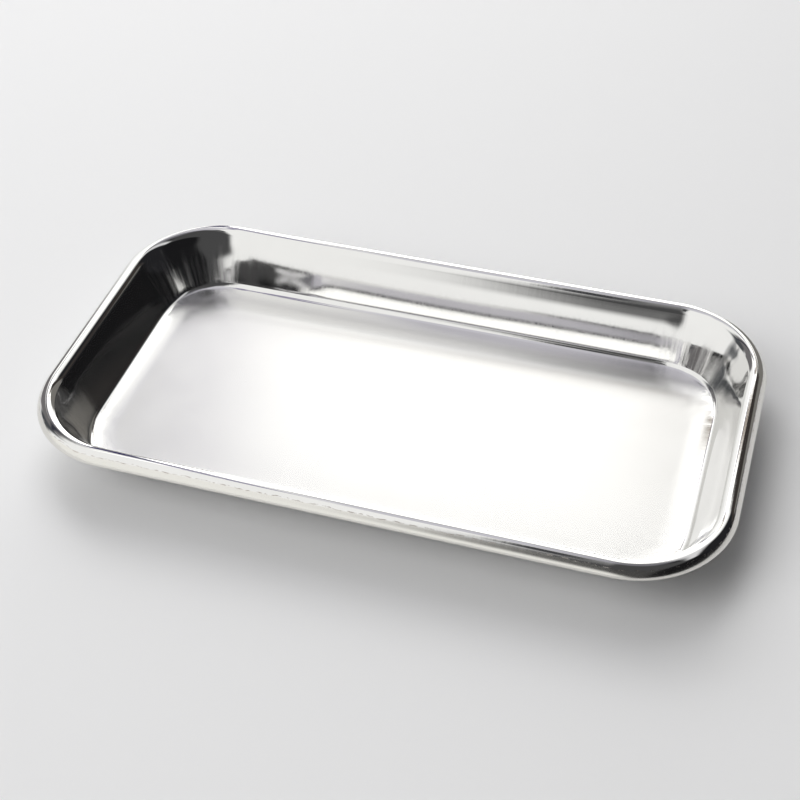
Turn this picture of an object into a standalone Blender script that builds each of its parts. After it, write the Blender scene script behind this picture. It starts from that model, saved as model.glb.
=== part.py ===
"""Instrument tray: one stainless steel sheet, pressed into a shallow tray with a rolled rim.

Metres, +Z up. The origin is the middle of the flat underside, and the long side runs along X.
"""

import math

import bmesh
import bpy

# Driving dimensions
LENGTH = 0.225
WIDTH = 0.125
HEIGHT = 0.020
CORNER_RADIUS = 0.0325      # outermost line of the rim, seen from above
SHEET = 0.0006              # thickness of the steel
FOLD_RADIUS = 0.0028        # inside of the bend between floor and wall
WALL_DRAFT = math.radians(22.5)     # lean of the wall, outwards from the vertical

# The rim goes on from the top of the wall as three arcs, each tangent to the one before it:
# over the top, down the flatter outer side, and round under into the rolled edge.
RIM_TOP_RADIUS = 0.0031
RIM_TOP_END = math.radians(139)
RIM_SIDE_RADIUS = 0.0078
RIM_SIDE_END = math.radians(158)
RIM_EDGE_RADIUS = 0.0007
RIM_EDGE_END = math.radians(330)

# Fineness of the faceted solid
CORNER_STEPS = 12
FOLD_STEPS = 6
RIM_TOP_STEPS = 10
RIM_SIDE_STEPS = 3
RIM_EDGE_STEPS = 9

STEEL_COLOUR = (0.78, 0.78, 0.76, 1.0)
STEEL_ROUGHNESS = 0.12


def clear_scene():
    for obj in list(bpy.data.objects):
        bpy.data.objects.remove(obj, do_unlink=True)


def toward(angle):
    """A unit step (inset, height) across the section. 0 points into the tray, a quarter turn up."""
    return math.cos(angle), math.sin(angle)


def arc(centre, radius, start, end, steps):
    """Points (inset, height) on an arc."""
    points = []
    for i in range(steps + 1):
        inwards, up = toward(start + (end - start) * i / steps)
        points.append((centre[0] + radius * inwards, centre[1] + radius * up))
    return points


def rim_centres():
    """Centres (inset, height) of the rim's three arcs."""
    step_in, step_up = toward(RIM_TOP_END)
    side_in = (RIM_TOP_RADIUS - RIM_SIDE_RADIUS) * step_in
    side_up = (RIM_TOP_RADIUS - RIM_SIDE_RADIUS) * step_up
    step_in, step_up = toward(RIM_SIDE_END)
    edge_in = side_in + (RIM_SIDE_RADIUS - RIM_EDGE_RADIUS) * step_in
    edge_up = side_up + (RIM_SIDE_RADIUS - RIM_EDGE_RADIUS) * step_up
    top_inset = RIM_EDGE_RADIUS - edge_in
    top_height = HEIGHT - RIM_TOP_RADIUS
    return ((top_inset, top_height),
            (top_inset + side_in, top_height + side_up),
            (top_inset + edge_in, top_height + edge_up))


def fold_centre():
    """Centre of the bend at the foot of the wall, which the wall's inner face meets at a tangent."""
    top_inset, top_height = rim_centres()[0]
    step_in, step_up = toward(WALL_DRAFT)
    wall_top_inset = top_inset + RIM_TOP_RADIUS * step_in
    wall_top_height = top_height + RIM_TOP_RADIUS * step_up
    wall_foot_height = SHEET + FOLD_RADIUS * (1 - step_up)
    wall_foot_inset = wall_top_inset + (wall_top_height - wall_foot_height) * math.tan(WALL_DRAFT)
    return wall_foot_inset + FOLD_RADIUS * step_in, SHEET + FOLD_RADIUS


def face_of_sheet(depth):
    """The line that one face of the sheet follows, from the floor's edge to the end of the rim.

    depth is 0 for the inner face and SHEET for the outer one. Insets are measured inwards from the
    outermost line of the rim.
    """
    top, side, edge = rim_centres()
    fold = arc(fold_centre(), FOLD_RADIUS + depth, -math.pi / 2, WALL_DRAFT - math.pi, FOLD_STEPS)
    over = arc(top, RIM_TOP_RADIUS - depth, WALL_DRAFT, RIM_TOP_END, RIM_TOP_STEPS)
    down = arc(side, RIM_SIDE_RADIUS - depth, RIM_TOP_END, RIM_SIDE_END, RIM_SIDE_STEPS)
    under = arc(edge, RIM_EDGE_RADIUS - depth, RIM_SIDE_END, RIM_EDGE_END, RIM_EDGE_STEPS)
    return fold + over + down[1:] + under[1:]


def ring_points(inset, height):
    """A rounded rectangle, this far in from the rim's outermost line."""
    radius = CORNER_RADIUS - inset
    half_x = LENGTH / 2 - CORNER_RADIUS
    half_y = WIDTH / 2 - CORNER_RADIUS
    points = []
    for corner, (x_sign, y_sign) in enumerate(((1, 1), (-1, 1), (-1, -1), (1, -1))):
        for step in range(CORNER_STEPS + 1):
            angle = math.pi / 2 * (corner + step / CORNER_STEPS)
            points.append((x_sign * half_x + radius * math.cos(angle),
                           y_sign * half_y + radius * math.sin(angle),
                           height))
    return points


def steel_material():
    steel = bpy.data.materials.new("polished_steel")
    steel.use_nodes = True
    shader = steel.node_tree.nodes["Principled BSDF"]
    shader.inputs["Base Color"].default_value = STEEL_COLOUR
    shader.inputs["Metallic"].default_value = 1.0
    shader.inputs["Roughness"].default_value = STEEL_ROUGHNESS
    return steel


def build_tray():
    """One ring of the sheet's section after another, joined by faces and closed by the two floor faces."""
    section = face_of_sheet(0) + face_of_sheet(SHEET)[::-1]
    shape = bmesh.new()
    rings = []
    for inset, height in section:
        rings.append([shape.verts.new(point) for point in ring_points(inset, height)])
    count = len(rings[0])
    for lower, upper in zip(rings, rings[1:]):
        for i in range(count):
            shape.faces.new((lower[i], upper[i], upper[(i + 1) % count], lower[(i + 1) % count]))
    shape.faces.new(rings[0])
    shape.faces.new(reversed(rings[-1]))
    bmesh.ops.recalc_face_normals(shape, faces=shape.faces)
    mesh = bpy.data.meshes.new("tray")
    shape.to_mesh(mesh)
    shape.free()
    mesh.shade_smooth()
    mesh.set_sharp_from_angle(angle=math.radians(30))
    mesh.materials.append(steel_material())
    tray = bpy.data.objects.new("tray", mesh)
    bpy.context.scene.collection.objects.link(tray)
    return tray


clear_scene()
build_tray()
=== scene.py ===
"""Looks of the instrument tray: a fine mesh of the pressed sheet, its finish, a table and soft light."""
import math

import bmesh
import bpy
from mathutils import Matrix, Vector, noise

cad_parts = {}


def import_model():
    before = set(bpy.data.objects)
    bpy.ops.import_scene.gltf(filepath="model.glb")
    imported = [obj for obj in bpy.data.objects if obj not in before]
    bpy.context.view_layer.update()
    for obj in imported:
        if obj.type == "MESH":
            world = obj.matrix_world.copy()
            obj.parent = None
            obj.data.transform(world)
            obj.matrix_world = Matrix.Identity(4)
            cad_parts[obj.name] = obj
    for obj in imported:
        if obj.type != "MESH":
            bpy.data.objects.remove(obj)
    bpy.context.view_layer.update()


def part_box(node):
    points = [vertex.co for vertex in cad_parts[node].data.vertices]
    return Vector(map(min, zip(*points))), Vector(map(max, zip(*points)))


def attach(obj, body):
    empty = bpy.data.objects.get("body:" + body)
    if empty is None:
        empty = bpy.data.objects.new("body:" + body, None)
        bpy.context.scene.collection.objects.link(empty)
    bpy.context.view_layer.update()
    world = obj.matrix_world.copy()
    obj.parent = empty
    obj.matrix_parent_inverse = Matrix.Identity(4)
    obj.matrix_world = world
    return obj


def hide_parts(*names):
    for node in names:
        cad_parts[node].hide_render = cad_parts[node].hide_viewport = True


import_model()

MM = 0.001

# Size of the tray, from the frame
HALF_LENGTH, HALF_WIDTH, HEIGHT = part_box("tray")[1]

# Section of the pressed sheet, as in the CAD
CORNER_RADIUS = 32.5 * MM
SHEET = 0.6 * MM
FOLD_RADIUS = 2.8 * MM
WALL_DRAFT = math.radians(22.5)
RIM_TOP = (3.1 * MM, math.radians(139))      # outside radius, and the angle at which the arc ends
RIM_SIDE = (7.8 * MM, math.radians(158))
RIM_EDGE = (0.7 * MM, math.radians(330))

# Parts of the sheet
FLOOR = "floor"
FOLD = "fold"
WALL = "wall"
RIM = "rim"
EDGE = "edge"

# Ease of the wall into the rim: how far it stands back, where the most is past the top of the
# straight wall, and how far that reaches down the wall and over the rim
ROLL_DEPTH = 0.33 * MM
ROLL_PEAK = 1.5 * MM
ROLL_BELOW = 6.0 * MM
ROLL_ABOVE = 5.0 * MM

# Ease of the floor into the fold: how far it comes up there, and how far before the fold that starts
FOOT_RISE = 0.4 * MM
FOOT_RUN = 7.0 * MM

# Ease of the corners: how far the bend of a wall runs out past each end of its corner arc, and the
# heights between which that ease fades away
CORNER_EASE = 9.0 * MM
CORNER_EASE_FADE = (11 * MM, 17.5 * MM)

# Relief left by the press, as how far it stands proud of the exact section
FLOOR_SWELL = 0.03 * MM
WALL_SWELL = 0.02 * MM
RIM_SWELL = 0.008 * MM
RIM_WRINKLES = 0.004 * MM
EDGE_WRINKLES = 0.03 * MM
CORNER_STREAKS = 0.026 * MM
CORNER_STREAKS_REACH = 14 * MM      # past the end of a corner arc, where they have faded away

# Dark broken line round the rim, a painted reflection of the line where the table meets the dark room in
# front
RIM_PAINTED_LINE = 26.7 * MM       # length along the sheet, from the fold's foot to the line
PAINTED_LINE_WAVER = 0.45 * MM     # how far it strays either way
PAINTED_LINE_CORE = 0.05 * MM      # half width at full strength
PAINTED_LINE_SOFT = 0.20 * MM      # half width where it ends

# Fineness of the mesh
SPACING = 1.0 * MM          # between stations round the tray
FLOOR_RINGS = 22
FOOT_STEPS = 9
FOLD_STEPS = 12
WALL_STEPS = 14
RIM_TOP_STEPS = 24
RIM_SIDE_STEPS = 8
RIM_EDGE_STEPS = 14


# ---------------------------------------------------------------- section of the sheet

def toward(angle):
    """A unit step (inset, height) across the section. 0 points into the tray, a quarter turn up."""
    return Vector((math.cos(angle), math.sin(angle)))


def rim_centres():
    """Centres (inset, height) of the rim's three arcs, each tangent to the one before it."""
    side = toward(RIM_TOP[1]) * (RIM_TOP[0] - RIM_SIDE[0])
    edge = side + toward(RIM_SIDE[1]) * (RIM_SIDE[0] - RIM_EDGE[0])
    top = Vector((RIM_EDGE[0] - edge.x, HEIGHT - RIM_TOP[0]))
    return top, top + side, top + edge


def wall_ends():
    """Foot and top (inset, height) of the wall's straight inner face."""
    top = rim_centres()[0] + toward(WALL_DRAFT) * RIM_TOP[0]
    foot_height = SHEET + FOLD_RADIUS * (1 - math.sin(WALL_DRAFT))
    return Vector((top.x + (top.y - foot_height) * math.tan(WALL_DRAFT), foot_height)), top


def arc(part, centre, radius, start, end, steps, side, length):
    """Stations on an arc. side is 1 where the visible face is outside the arc and -1 where inside."""
    stations = []
    for step in range(steps + 1):
        angle = start + (end - start) * step / steps
        place = centre + toward(angle) * radius
        normal = toward(angle) * side
        stations.append((part, *place, *normal, length + radius * abs(angle - start)))
    return stations


def section():
    """Stations up the inner face: (part, inset, height, normal inwards, normal up, length on the sheet)."""
    foot, top = wall_ends()
    bend = foot + toward(WALL_DRAFT) * FOLD_RADIUS
    stations = []
    for step in range(FOOT_STEPS):
        before = FOOT_RUN * (1 - step / FOOT_STEPS)
        stations.append((FOLD, bend.x + before, SHEET, 0.0, 1.0, -before))
    stations += arc(FOLD, bend, FOLD_RADIUS, -math.pi / 2, WALL_DRAFT - math.pi, FOLD_STEPS, -1, 0.0)
    length = stations[-1][5]
    stations = [raised_foot(station, length) for station in stations]
    into, up = toward(WALL_DRAFT)
    for step in range(1, WALL_STEPS):
        share = step / WALL_STEPS
        stations.append((WALL, *foot.lerp(top, share), into, up, length + (top - foot).length * share))
    length += (top - foot).length
    top_length = length
    start = WALL_DRAFT
    for part, (radius, end), centre, steps in zip(
            (RIM, RIM, EDGE), (RIM_TOP, RIM_SIDE, RIM_EDGE), rim_centres(),
            (RIM_TOP_STEPS, RIM_SIDE_STEPS, RIM_EDGE_STEPS)):
        turn = arc(part, centre, radius, start, end, steps, 1, length)
        stations += turn if start == WALL_DRAFT else turn[1:]
        length = turn[-1][5]
        start = end
    return [eased_over(station, top_length) for station in stations]


def raised_foot(station, fold_length):
    """The station lifted a little where the floor starts to turn up into the fold."""
    part, inset, height, into, up, length = station
    if length <= 0:
        rise = (1 + length / FOOT_RUN) ** 2
    else:
        share = min(length / fold_length, 1.0)
        rise = (1 - share) ** 2 * (1 + (2 + 2 * fold_length / FOOT_RUN) * share)
    return part, inset, height + FOOT_RISE * rise, into, up, length


def eased_over(station, top_length):
    """The station stood back a little where the wall starts to roll over into the rim."""
    part, inset, height, into, up, length = station
    away = length - top_length - ROLL_PEAK
    share = min(abs(away) / (ROLL_BELOW if away < 0 else ROLL_ABOVE), 1.0)
    back = ROLL_DEPTH * (1 - share * share) ** 2
    return part, inset - into * back, height - up * back, into, up, length


# ---------------------------------------------------------------- outline of the tray

def outline():
    """Stations round the tray: (core point, outward direction, distance round). A closed loop."""
    half_x = HALF_LENGTH - CORNER_RADIUS
    half_y = HALF_WIDTH - CORNER_RADIUS
    corners = [(half_x, half_y), (-half_x, half_y), (-half_x, -half_y), (half_x, -half_y)]
    stations = []
    distance = 0.0
    for index, corner in enumerate(corners):
        core = Vector(corner)
        after = Vector(corners[(index + 1) % 4])
        arc_steps = round(CORNER_RADIUS * math.pi / 2 / SPACING)
        for step in range(arc_steps):
            angle = math.pi / 2 * (index + step / arc_steps)
            out = Vector((math.cos(angle), math.sin(angle)))
            stations.append((core, out, distance + CORNER_RADIUS * math.pi / 2 * step / arc_steps))
        distance += CORNER_RADIUS * math.pi / 2
        out = Vector((math.cos(math.pi / 2 * (index + 1)), math.sin(math.pi / 2 * (index + 1))))
        side = (after - core).length
        side_steps = round(side / SPACING)
        for step in range(side_steps):
            stations.append((core.lerp(after, step / side_steps), out, distance + side * step / side_steps))
        distance += side
    return stations, distance


# ---------------------------------------------------------------- relief left by the press

def smooth(low, high, value):
    share = min(max((value - low) / (high - low), 0.0), 1.0)
    return share * share * (3 - 2 * share)


def past_arc(core, out, radius):
    """Distance along a ring of this corner radius past the nearest end of an arc, negative on the arc."""
    turn = math.atan2(abs(out.y), abs(out.x))
    if 1e-6 < turn < math.pi / 2 - 1e-6:
        return -radius * min(turn, math.pi / 2 - turn)
    half_x = HALF_LENGTH - CORNER_RADIUS
    half_y = HALF_WIDTH - CORNER_RADIUS
    return half_x - abs(core.x) if abs(out.y) > 0.5 else half_y - abs(core.y)


def corner_ease(core, out, radius, height):
    """How far the corners are cut inside their arcs, so that the bend comes on by degrees below the rim."""
    past = min(max(past_arc(core, out, radius), -CORNER_EASE), CORNER_EASE)
    left = CORNER_EASE - abs(past)
    cut = left ** 3 if past > 0 else 2 * CORNER_EASE ** 3 - left ** 3
    return cut / (12 * CORNER_EASE * radius) * (1 - smooth(*CORNER_EASE_FADE, height))


def place_on_ring(core, out, inset, height):
    """Where the sheet is, seen from above, at this inset and height."""
    radius = CORNER_RADIUS - inset
    return core + out * (radius - corner_ease(core, out, radius, height))


def relief(part, point, core, out):
    """How far the sheet stands proud of the exact section here, along its normal."""
    in_corner = 1.0 - smooth(0.0, CORNER_STREAKS_REACH, past_arc(core, out, CORNER_RADIUS))
    slow = noise.noise(Vector((point.x * 28, point.y * 28, point.z * 60)))
    if part == FLOOR:
        return FLOOR_SWELL * slow
    if part in (FOLD, WALL):
        around = Vector((point.x, point.y, 0)) * 300
        streaks = noise.noise(around + Vector((0, 0, point.z * 25)))
        return WALL_SWELL * slow + in_corner * CORNER_STREAKS * streaks
    wrinkles = noise.noise(Vector((point.x * 200, point.y * 200, point.z * 120)))
    if part == EDGE:
        return RIM_SWELL * slow + EDGE_WRINKLES * wrinkles
    return RIM_SWELL * slow + RIM_WRINKLES * wrinkles


# ---------------------------------------------------------------- mesh of the tray

def ring_on_section(station, depth, loop):
    """One closed ring of points: this station of the section, carried round the tray."""
    part, inset, height, into, up, _ = station
    points = []
    for core, out, _ in loop:
        flat = place_on_ring(core, out, inset, height)
        bump = relief(part, Vector((flat.x, flat.y, height)), core, out) - depth
        flat -= out * into * bump
        points.append((flat.x, flat.y, height + up * bump))
    return points


def ring_on_floor(share, height, loop, inset):
    """A ring of the flat floor, this share of the way from its edge to its middle line."""
    half_spine = HALF_LENGTH - HALF_WIDTH
    points = []
    for core, out, _ in loop:
        edge = place_on_ring(core, out, inset, height)
        spine = Vector((min(max(edge.x, -half_spine), half_spine), 0.0))
        flat = edge.lerp(spine, share)
        bump = relief(FLOOR, Vector((flat.x, flat.y, height)), core, out)
        points.append((flat.x, flat.y, height + bump * smooth(0.0, 0.3, share)))
    return points


def build_tray():
    """The whole sheet: floor, fold, wall and rim on the inner face, the cut edge, and the outer face."""
    loop, length_round = outline()
    stations = section()
    floor_inset, floor_length = stations[0][1], stations[0][5]
    shares = [step / FLOOR_RINGS for step in range(FLOOR_RINGS - 1, 0, -1)]
    rings = [(ring_on_floor(share, SHEET, loop, floor_inset), floor_length - share * floor_inset)
             for share in shares]
    rings += [(ring_on_section(station, 0.0, loop), station[5]) for station in stations]
    edge_ring = len(rings) - 1
    rings += [(ring_on_section(station, SHEET, loop), station[5]) for station in reversed(stations)]
    rings += [(ring_on_floor(share, 0.0, loop, floor_inset), floor_length - share * floor_inset)
              for share in reversed(shares)]
    shape = bmesh.new()
    sheet_map = shape.loops.layers.uv.new("sheet")
    grid = [[shape.verts.new(point) for point in points] for points, _ in rings]
    count = len(loop)
    around = [distance for _, _, distance in loop] + [length_round]
    for row, (lower, upper) in enumerate(zip(grid, grid[1:])):
        for i in range(count):
            j = (i + 1) % count
            face = shape.faces.new((lower[i], lower[j], upper[j], upper[i]))
            face.smooth = row != edge_ring
            face.material_index = int(row == edge_ring)
            corners = ((i, row), (i + 1, row), (i + 1, row + 1), (i, row + 1))
            for corner, (station, ring) in zip(face.loops, corners):
                corner[sheet_map].uv = (around[station], rings[ring][1])
    shape.faces.new(grid[0])
    shape.faces.new(list(reversed(grid[-1])))
    bmesh.ops.recalc_face_normals(shape, faces=shape.faces)
    mesh = bpy.data.meshes.new("pressed_tray")
    shape.to_mesh(mesh)
    shape.free()
    mesh.set_sharp_from_angle(angle=math.radians(40))
    tray = bpy.data.objects.new("pressed_tray", mesh)
    bpy.context.scene.collection.objects.link(tray)
    return tray


# ---------------------------------------------------------------- materials

# Roughness of each finish, at its least and most where it varies
WALL_ROUGHNESS = (0.035, 0.065)
CORNER_ROUGHNESS = (0.06, 0.20)
FLOOR_ROUGHNESS = (0.20, 0.23)
UNDER_ROUGHNESS = 0.15      # under the rim, past the painted dark line
PAINTED_LINE_ROUGHNESS = 0.45
CUT_ROUGHNESS = (0.3, 0.5)

STEEL_COLOURS = ((0.80, 0.795, 0.785, 1.0), (0.86, 0.855, 0.845, 1.0))
# Beige tint of the steel under the rim, a painted reflection of the table
UNDER_RIM_PAINTED_REFLECTION = (0.80, 0.785, 0.745, 1.0)
# Brown of the dark line round the rim, a painted reflection
PAINTED_LINE_COLOUR = (0.48, 0.42, 0.37, 1.0)
CUT_COLOURS = ((0.45, 0.45, 0.44, 1.0), (0.62, 0.62, 0.61, 1.0))

# Where one finish fades into the next
FLOOR_FINISH_FADE = (0.68 * MM, 1.05 * MM)      # heights
CORNER_FINISH_FADE = (14.0 * MM, 18.0 * MM)     # heights
CORNER_FINISH_REACH = 12 * MM       # either side of the ends of a corner arc
UNDER_FADE = 0.3 * MM       # along the sheet, from the painted dark line
GRAIN_DEPTH = 0.02 * MM


class Nodes:
    """Short calls for building a node tree."""

    def __init__(self, tree):
        self.tree = tree

    def add(self, kind, **settings):
        node = self.tree.nodes.new(kind)
        for name, value in settings.items():
            setattr(node, name, value)
        return node

    def put(self, socket, value):
        """Gives a socket a value, or links another socket to it."""
        if isinstance(value, bpy.types.NodeSocket):
            self.tree.links.new(value, socket)
        else:
            socket.default_value = value

    def math(self, operation, first, second=0.0, third=0.0):
        node = self.add("ShaderNodeMath", operation=operation)
        for socket, value in zip(node.inputs, (first, second, third)):
            self.put(socket, value)
        return node.outputs[0]

    def vector(self, operation, first, second=None, scale=None):
        node = self.add("ShaderNodeVectorMath", operation=operation)
        self.put(node.inputs[0], first)
        if second is not None:
            self.put(node.inputs[1], second)
        if scale is not None:
            self.put(node.inputs["Scale"], scale)
        return node.outputs["Vector"]

    def ramp(self, value, low, high, to_low=0.0, to_high=1.0):
        """Smooth step from to_low at low, to to_high at high."""
        node = self.add("ShaderNodeMapRange", interpolation_type="SMOOTHSTEP")
        for socket, given in zip(node.inputs, (value, low, high, to_low, to_high)):
            self.put(socket, given)
        return node.outputs[0]

    def mix(self, share, first, second):
        node = self.add("ShaderNodeMix", data_type="RGBA")
        self.put(node.inputs["Factor"], share)
        self.put(node.inputs["A"], first)
        self.put(node.inputs["B"], second)
        return node.outputs["Result"]

    def noise(self, place, scale, detail):
        node = self.add("ShaderNodeTexNoise")
        self.put(node.inputs["Vector"], place)
        self.put(node.inputs["Scale"], scale)
        self.put(node.inputs["Detail"], detail)
        return node.outputs["Fac"]

    def split(self, place):
        """The X, Y and Z of a vector."""
        node = self.add("ShaderNodeSeparateXYZ")
        self.put(node.inputs[0], place)
        return node.outputs

    def stretched(self, place, scale):
        node = self.add("ShaderNodeMapping")
        self.put(node.inputs["Vector"], place)
        self.put(node.inputs["Scale"], scale)
        return node.outputs[0]


def blend(nodes, share, first, second):
    """A number between two others."""
    mix = nodes.add("ShaderNodeMix", data_type="FLOAT")
    for name, value in (("Factor", share), ("A", first), ("B", second)):
        nodes.put(mix.inputs[name], value)
    return mix.outputs["Result"]


def corner_mask(nodes, place):
    """1 in the four rounded corners of the tray and 0 along its sides."""
    sides = nodes.split(nodes.vector("ABSOLUTE", place))
    arc_x = HALF_LENGTH - CORNER_RADIUS
    arc_y = HALF_WIDTH - CORNER_RADIUS
    lengthwise = nodes.ramp(sides["X"], arc_x - CORNER_FINISH_REACH, arc_x + CORNER_FINISH_REACH)
    widthwise = nodes.ramp(sides["Y"], arc_y - CORNER_FINISH_REACH, arc_y + CORNER_FINISH_REACH)
    return nodes.math("MULTIPLY", lengthwise, widthwise)


def painted_reflection_line(nodes, sheet):
    """A thin broken dark line round the outside of the rim, a painted reflection of where the table meets
    the dark room in front.
    """
    round_tray = nodes.stretched(sheet, (1.0, 0.0, 0.0))
    waver = nodes.ramp(nodes.noise(round_tray, 160.0, 4.0), 0.2, 0.8, -PAINTED_LINE_WAVER, PAINTED_LINE_WAVER)
    up_sheet = nodes.math("ADD", nodes.split(sheet)["Y"], waver)
    away = nodes.math("ABSOLUTE", nodes.math("SUBTRACT", up_sheet, RIM_PAINTED_LINE))
    line = nodes.ramp(away, PAINTED_LINE_CORE, PAINTED_LINE_SOFT, 1.0, 0.0)
    breaks = nodes.ramp(nodes.noise(round_tray, 420.0, 5.0), 0.44, 0.60, 0.0, 0.8)
    return nodes.math("MULTIPLY", line, breaks)


def polished_steel():
    """Mirror-bright walls and rim, drawn corners, a satin floor, a beige tint under the rim that is a
    painted reflection of the table, and a dark line round the rim that is a painted reflection.
    """
    steel = bpy.data.materials.new("polished_steel")
    steel.use_nodes = True
    shader = steel.node_tree.nodes["Principled BSDF"]
    nodes = Nodes(steel.node_tree)
    place = nodes.add("ShaderNodeTexCoord").outputs["Object"]
    sheet = nodes.add("ShaderNodeUVMap", uv_map="sheet").outputs[0]
    height = nodes.split(place)["Z"]
    on_floor = nodes.ramp(height, *FLOOR_FINISH_FADE, 1.0, 0.0)
    below_rim = nodes.ramp(height, *CORNER_FINISH_FADE, 1.0, 0.0)
    in_corner = nodes.math("MULTIPLY", corner_mask(nodes, place), below_rim)
    # The dark broken line round the rim is a painted reflection
    painted_line = painted_reflection_line(nodes, sheet)
    under_rim = nodes.ramp(nodes.split(sheet)["Y"], RIM_PAINTED_LINE, RIM_PAINTED_LINE + UNDER_FADE)
    cloud = nodes.noise(place, 60.0, 3.0)
    grain = nodes.noise(nodes.stretched(place, (1.0, 1.0, 0.05)), 2600.0, 2.0)
    drawn = nodes.noise(nodes.stretched(sheet, (1.0, 0.06, 0.0)), 520.0, 3.0)
    roughness = nodes.ramp(grain, 0.3, 0.7, *WALL_ROUGHNESS)
    roughness = blend(nodes, in_corner, roughness, nodes.ramp(drawn, 0.35, 0.65, *CORNER_ROUGHNESS))
    roughness = blend(nodes, on_floor, roughness, nodes.ramp(cloud, 0.2, 0.8, *FLOOR_ROUGHNESS))
    roughness = blend(nodes, under_rim, roughness, UNDER_ROUGHNESS)
    nodes.put(shader.inputs["Roughness"], blend(nodes, painted_line, roughness, PAINTED_LINE_ROUGHNESS))
    nodes.put(shader.inputs["Metallic"], 1.0)
    # Under the rim the steel is tinted beige, a painted reflection of the table
    colour = nodes.mix(under_rim, nodes.mix(cloud, *STEEL_COLOURS), UNDER_RIM_PAINTED_REFLECTION)
    nodes.put(shader.inputs["Base Color"], nodes.mix(painted_line, colour, PAINTED_LINE_COLOUR))
    bump = nodes.add("ShaderNodeBump")
    nodes.put(bump.inputs["Strength"], nodes.math("MULTIPLY_ADD", in_corner, 0.25, 0.06))
    nodes.put(bump.inputs["Distance"], GRAIN_DEPTH)
    nodes.put(bump.inputs["Height"], nodes.math("ADD", grain, nodes.math("MULTIPLY", drawn, 3.0)))
    nodes.put(shader.inputs["Normal"], bump.outputs[0])
    return steel


def cut_steel():
    """The duller cut edge of the sheet, inside the roll of the rim."""
    steel = bpy.data.materials.new("cut_steel")
    steel.use_nodes = True
    shader = steel.node_tree.nodes["Principled BSDF"]
    nodes = Nodes(steel.node_tree)
    place = nodes.add("ShaderNodeTexCoord").outputs["Object"]
    grain = nodes.noise(place, 900.0, 3.0)
    nodes.put(shader.inputs["Metallic"], 1.0)
    nodes.put(shader.inputs["Base Color"], nodes.mix(grain, *CUT_COLOURS))
    nodes.put(shader.inputs["Roughness"], nodes.ramp(grain, 0.3, 0.7, *CUT_ROUGHNESS))
    return steel


# ---------------------------------------------------------------- studio

TABLE_REACH = 3.0           # metres from the tray to each side of the table
TABLE_GAP = 0.05 * MM       # below the tray
TABLE_COLOUR = (0.82, 0.82, 0.825, 1.0)
TABLE_ROUGHNESS = 0.6
BACKDROP_COLOUR = (0.78, 0.78, 0.79, 1.0)

CAMERA_AIM = Vector((-4.1 * MM, 8.3 * MM, 0.0))
CAMERA_DISTANCE = 511.2 * MM
CAMERA_SWING = math.radians(18.35)      # to the right of the tray's front
CAMERA_RAISED = math.radians(43.03)     # above the table
CAMERA_ROLL = math.radians(-1.66)
CAMERA_LENS = 68.5          # millimetres, on a sensor 36 mm wide


def table():
    """A pale, dull table that the tray stands on."""
    mesh = bpy.data.meshes.new("table")
    shape = bmesh.new()
    bmesh.ops.create_grid(shape, x_segments=1, y_segments=1, size=TABLE_REACH)
    shape.to_mesh(mesh)
    shape.free()
    paint = bpy.data.materials.new("pale_table")
    paint.use_nodes = True
    shader = paint.node_tree.nodes["Principled BSDF"]
    shader.inputs["Base Color"].default_value = TABLE_COLOUR
    shader.inputs["Roughness"].default_value = TABLE_ROUGHNESS
    mesh.materials.append(paint)
    top = bpy.data.objects.new("table", mesh)
    top.location.z = -TABLE_GAP
    bpy.context.scene.collection.objects.link(top)


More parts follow.
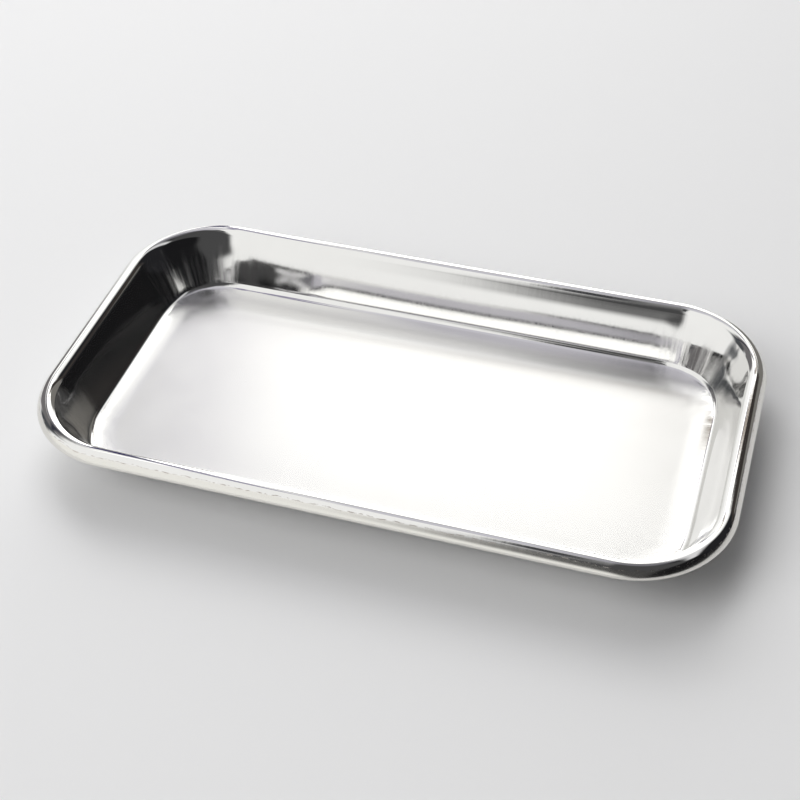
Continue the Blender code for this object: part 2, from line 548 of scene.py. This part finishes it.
# The room as the steel sees it, drawn as a plan of the sky: the middle is overhead, and 1 is the horizon.
# Softly edged rectangles, laid one over another:
# name, right, behind, half length, half width, turn in degrees, softness, colour
ROOM = (
    ("pale wall behind left", -0.46, 0.61, 0.11, 0.30, -4, 0.040, (1.10, 1.10, 1.09)),
    ("lamp behind", -0.185, 0.780, 0.185, 0.29, 6, 0.020, (2.60, 2.60, 2.56)),
    ("glow below the lamp", -0.205, 0.42, 0.24, 0.11, 6, 0.050, (1.60, 1.60, 1.57)),
    ("dark strip below the lamp", -0.10, 0.390, 0.110, 0.034, 4, 0.022, (0.03, 0.03, 0.035)),
    ("dusky ceiling", -0.09, 0.20, 0.088, 0.17, 8, 0.030, (0.63, 0.62, 0.675)),
    ("dim ceiling on the right", 0.235, 0.02, 0.28, 0.36, 2, 0.040, (0.20, 0.198, 0.217)),
    ("dark room on the right", 0.605, -0.455, 0.605, 0.605, -20, 0.090, (0.011, 0.011, 0.012)),
    ("dark room in front", 0.19, -0.40, 0.285, 0.48, -6, 0.055, (0.070, 0.070, 0.071)),
    ("black wall behind right", 0.635, 0.38, 0.47, 0.345, -9, 0.080, (0.018, 0.018, 0.020)),
    ("strip light", 0.247, 0.198, 0.285, 0.044, -44, 0.035, (0.78, 0.78, 0.79)),
    ("grey room behind right", 0.36, 0.745, 0.288, 0.22, -7, 0.025, (0.20, 0.192, 0.178)),
    ("beam behind right", 0.36, 0.531, 0.395, 0.034, 1, 0.008, (0.043, 0.037, 0.034)),
    ("beam behind left", -0.16, 0.532, 0.145, 0.014, -4, 0.010, (0.36, 0.31, 0.265)),
    ("dark doorway on the left", -0.77, 0.095, 0.24, 0.18, 4, 0.080, (0.080, 0.085, 0.092)),
    ("grey corner on the left", -0.625, 0.375, 0.295, 0.18, -35, 0.036, (0.18, 0.172, 0.176)),
    ("edge of the doorway", -0.45, 0.24, 0.22, 0.020, 49, 0.015, (0.040, 0.040, 0.056)),
    ("gap beside the lamp", -0.308, 0.437, 0.050, 0.022, 38, 0.020, (0.055, 0.055, 0.060)),
    ("blue post behind left", -0.328, 0.705, 0.20, 0.021, -73, 0.010, (0.05, 0.045, 0.12)),
    ("rail overhead", -0.078, -0.18, 0.020, 0.17, -2, 0.012, (0.06, 0.06, 0.065)),
    ("top of the blue post", -0.23, 0.33, 0.20, 0.013, -79, 0.012, (0.22, 0.20, 0.32)),
)
ROOM_WHITE = (1.0, 1.0, 0.985)      # the rest of the room

# Soft lamps that the steel doesn't mirror: name, place, width, strength
LAMPS = (
    ("lamp_behind", (-0.45, 0.95, 1.25), 1.1, 7.3),
    ("lamp_behind_left", (-0.80, 0.80, 0.70), 0.5, 2.7),
    ("lamp_front_left", (-0.90, -0.80, 1.00), 1.1, 7.8),
)


def sky_plan(nodes):
    """Where a direction falls on the plan of the sky."""
    direction = nodes.add("ShaderNodeTexCoord").outputs["Generated"]
    from_overhead = nodes.math("ARCCOSINE", nodes.split(direction)["Z"])
    from_overhead = nodes.math("MULTIPLY", from_overhead, 2 / math.pi)
    level = nodes.vector("MULTIPLY", direction, (1.0, 1.0, 0.0))
    return nodes.vector("SCALE", nodes.vector("NORMALIZE", level), scale=from_overhead)


def patch(nodes, plan, right, behind, half_length, half_width, turn, soft):
    """1 inside a softly edged rectangle on the plan of the sky, and 0 outside."""
    local = nodes.add("ShaderNodeMapping", vector_type="TEXTURE")
    nodes.put(local.inputs["Vector"], plan)
    nodes.put(local.inputs["Location"], (right, behind, 0.0))
    nodes.put(local.inputs["Rotation"], (0.0, 0.0, math.radians(turn)))
    sides = nodes.split(nodes.vector("ABSOLUTE", local.outputs[0]))
    along = nodes.ramp(sides["X"], half_length - soft, half_length + soft, 1.0, 0.0)
    across = nodes.ramp(sides["Y"], half_width - soft, half_width + soft, 1.0, 0.0)
    return nodes.math("MULTIPLY", along, across)


def world():
    """The room round the tray as the steel and the table see it, and a plain backdrop for the camera."""
    studio = bpy.data.worlds.new("studio")
    studio.use_nodes = True
    bpy.context.scene.world = studio
    tree = studio.node_tree
    nodes = Nodes(tree)
    plan = sky_plan(nodes)
    colour = (*ROOM_WHITE, 1.0)
    for _, *place, tint in ROOM:
        colour = nodes.mix(patch(nodes, plan, *place), colour, (*tint, 1.0))
    rays = nodes.add("ShaderNodeLightPath")
    seen = nodes.mix(rays.outputs["Is Camera Ray"], colour, BACKDROP_COLOUR)
    nodes.put(tree.nodes["Background"].inputs["Color"], seen)


def table_lamps():
    """Wide soft lamps that brighten the table and aren't mirrored in the steel."""
    for name, place, width, strength in LAMPS:
        lamp = bpy.data.lights.new(name, "AREA")
        lamp.shape = "DISK"
        lamp.size = width
        lamp.energy = strength
        light = bpy.data.objects.new(name, lamp)
        light.location = place
        light.rotation_euler = Vector(place).to_track_quat("Z", "Y").to_euler()
        light.visible_camera = False
        light.visible_glossy = False
        bpy.context.scene.collection.objects.link(light)


def camera():
    """Looks down at the tray from in front and a little to the right."""
    lens = bpy.data.cameras.new("camera")
    lens.sensor_width = 36.0
    lens.lens = CAMERA_LENS
    lens.clip_start = 0.01
    view = bpy.data.objects.new("camera", lens)
    bpy.context.scene.collection.objects.link(view)
    tilt = Matrix.Rotation(math.pi / 2 - CAMERA_RAISED, 4, "X")
    turn = Matrix.Rotation(CAMERA_SWING, 4, "Z") @ tilt
    place = CAMERA_AIM + turn @ Vector((0, 0, CAMERA_DISTANCE))
    view.matrix_world = Matrix.Translation(place) @ turn @ Matrix.Rotation(CAMERA_ROLL, 4, "Z")
    bpy.context.scene.camera = view


tray = build_tray()
tray.data.materials.append(polished_steel())
tray.data.materials.append(cut_steel())
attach(tray, "root")
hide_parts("tray")
table()
world()
table_lamps()
camera()
bpy.context.scene.view_settings.view_transform = "Standard"
